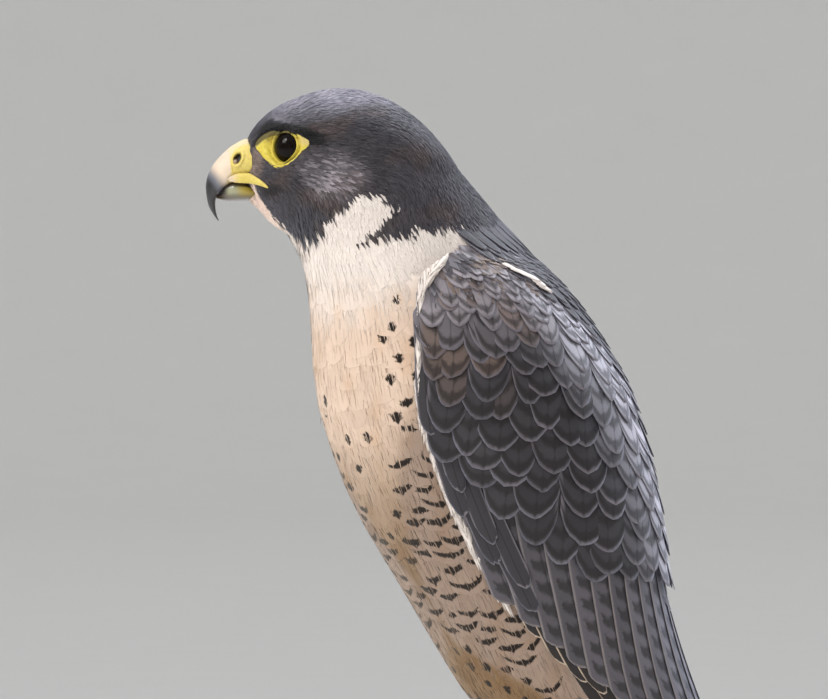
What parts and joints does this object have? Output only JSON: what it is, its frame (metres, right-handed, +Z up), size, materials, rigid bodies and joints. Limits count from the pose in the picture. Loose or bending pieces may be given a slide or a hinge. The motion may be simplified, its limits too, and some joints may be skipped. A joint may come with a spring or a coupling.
{
  "type": "peregrine falcon",
  "caption": "Life-size adult peregrine falcon, standing upright and still with its wings folded and its head turned to its right.",
  "frame": {"origin": "on the floor under the middle of the bird's bounding box", "axes": "+Z up, -Y the way the body faces, +X the bird's left"},
  "size_m": [0.1232, 0.2654, 0.3552],
  "materials": {
    "slate_plumage": "matte contour and flight feathers",
    "pale_plumage": "soft matte body feathers",
    "barred_plumage": "soft matte barred feathers",
    "yellow_skin": "waxy bare skin",
    "bill_horn": "smooth satin horn",
    "claw_horn": "smooth satin horn",
    "eye_gloss": "wet gloss"
  },
  "bodies": {
    "root": {"bill_lower": "bill_horn", "bill_upper": "bill_horn", "cere": "yellow_skin", "claw_left_hind": "claw_horn", "claw_left_inner": "claw_horn", "claw_left_middle": "claw_horn", "claw_left_outer": "claw_horn", "claw_right_hind": "claw_horn", "claw_right_inner": "claw_horn", "claw_right_middle": "claw_horn", "claw_right_outer": "claw_horn", "eye_left": "eye_gloss", "eye_right": "eye_gloss", "foot_left": "yellow_skin", "foot_right": "yellow_skin", "head": "slate_plumage", "neck": "slate_plumage", "tail": "slate_plumage", "tarsus_left": "yellow_skin", "tarsus_right": "yellow_skin", "thigh_left": "barred_plumage", "thigh_right": "barred_plumage", "torso": "pale_plumage", "wing_left": "slate_plumage", "wing_right": "slate_plumage"}
  },
  "joints": []
}
